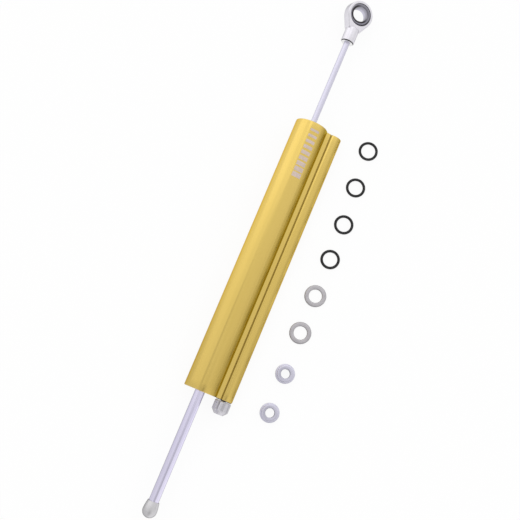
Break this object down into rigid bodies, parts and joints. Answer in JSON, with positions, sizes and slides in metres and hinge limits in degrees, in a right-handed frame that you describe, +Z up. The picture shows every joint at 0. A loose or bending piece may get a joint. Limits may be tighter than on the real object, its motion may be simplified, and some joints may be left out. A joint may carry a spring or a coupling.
{
  "type": "steering damper",
  "caption": "Linear steering damper: gold extruded body with a side tube, stepped through rod, ball rod end, fluted adjuster knob and a loose set of fitting rings.",
  "frame": {"origin": "centre of the rod end's ball, on the axis of the rod", "axes": "+X along the rod from the rod end to the end cap, +Y towards the side tube, +Z up as the damper lies on a table"},
  "size_m": [0.3304, 0.0579, 0.02],
  "materials": {
    "gold_anodised": "satin gold anodised",
    "polished_steel": "polished",
    "plated_steel": "bright plated",
    "spring_steel": "oiled",
    "satin_aluminium": "satin",
    "dark_steel": "blackened",
    "bronze": "turned",
    "black_rubber": "matte",
    "bearing_plastic": "smooth"
  },
  "bodies": {
    "barrel": {"body": "gold_anodised", "upper_head": "satin_aluminium", "lower_head": "satin_aluminium", "upper_bush": "bronze", "lower_bush": "bronze", "upper_seal": "black_rubber", "lower_seal": "black_rubber", "upper_wiper": "black_rubber", "lower_wiper": "black_rubber", "upper_head_ring": "black_rubber", "lower_head_ring": "black_rubber", "upper_circlip": "spring_steel", "lower_circlip": "spring_steel", "reservoir_plug": "satin_aluminium", "plug_ring": "black_rubber", "port_plug": "spring_steel", "needle_seat": "bronze", "adjuster_bush": "dark_steel", "adjuster_bush_ring": "black_rubber"},
    "band": {"piston_band": "bearing_plastic"},
    "rod": {"rod": "polished_steel", "piston": "satin_aluminium", "piston_nut": "spring_steel", "rod_end_housing": "plated_steel", "end_cap": "satin_aluminium"},
    "race": {"ball_race": "plated_steel"},
    "ball": {"rod_end_ball": "polished_steel"},
    "knob": {"adjuster_knob": "satin_aluminium", "adjuster_spindle": "spring_steel", "spindle_ring": "black_rubber", "grub_screw": "spring_steel", "click_spring": "spring_steel"},
    "click_ball": {"click_ball": "spring_steel"},
    "needle": {"needle": "spring_steel"},
    "float": {"floating_piston": "satin_aluminium", "floating_ring": "black_rubber"},
    "o_rings": {"o_rings": "black_rubber"},
    "washers": {"washers": "plated_steel"},
    "spacers": {"spacers": "satin_aluminium"}
  },
  "joints": [
    {"name": "rod_slide", "type": "slide", "parent": "barrel", "child": "band", "axis": [1, 0, 0], "range_m": [-0.065, 0.054]},
    {"name": "rod_turn", "type": "hinge", "parent": "band", "child": "rod", "pos_m": [0.1664, 0, 0], "axis": [1, 0, 0], "continuous": true},
    {"name": "race_turn", "type": "hinge", "parent": "rod", "child": "race", "pos_m": [0, 0, 0], "axis": [0, 0.3907, 0.9205], "continuous": true},
    {"name": "ball_tilt", "type": "hinge", "parent": "race", "child": "ball", "pos_m": [0, 0, 0], "axis": [1, 0, 0], "range_deg": [-22, 4]},
    {"name": "knob_turn", "type": "hinge", "parent": "barrel", "child": "knob", "pos_m": [0.246, 0.01467, -0.005], "axis": [1, 0, 0], "range_deg": [-360, 360]},
    {"name": "needle_move", "type": "slide", "parent": "barrel", "child": "needle", "axis": [1, 0, 0], "range_m": [-0.00046, 0.00046]},
    {"name": "click_drop", "type": "slide", "parent": "knob", "child": "click_ball", "axis": [-1, 0, 0], "range_m": [0, 0.0003]},
    {"name": "float_slide", "type": "slide", "parent": "barrel", "child": "float", "axis": [1, 0, 0], "range_m": [-0.0359, 0.0298]},
    {"name": "o_rings_lift", "type": "slide", "parent": "barrel", "child": "o_rings", "axis": [0, 0, 1], "range_m": [0, 0.04]},
    {"name": "washers_lift", "type": "slide", "parent": "barrel", "child": "washers", "axis": [0, 0, 1], "range_m": [0, 0.04]},
    {"name": "spacers_lift", "type": "slide", "parent": "barrel", "child": "spacers", "axis": [0, 0, 1], "range_m": [0, 0.04]}
  ],
  "couplings": [
    {"joint": "needle_move", "follows": "knob_turn", "m_per_rad": 0.00007162},
    {"joint": "float_slide", "follows": "rod_slide", "ratio": 0.55096}
  ]
}
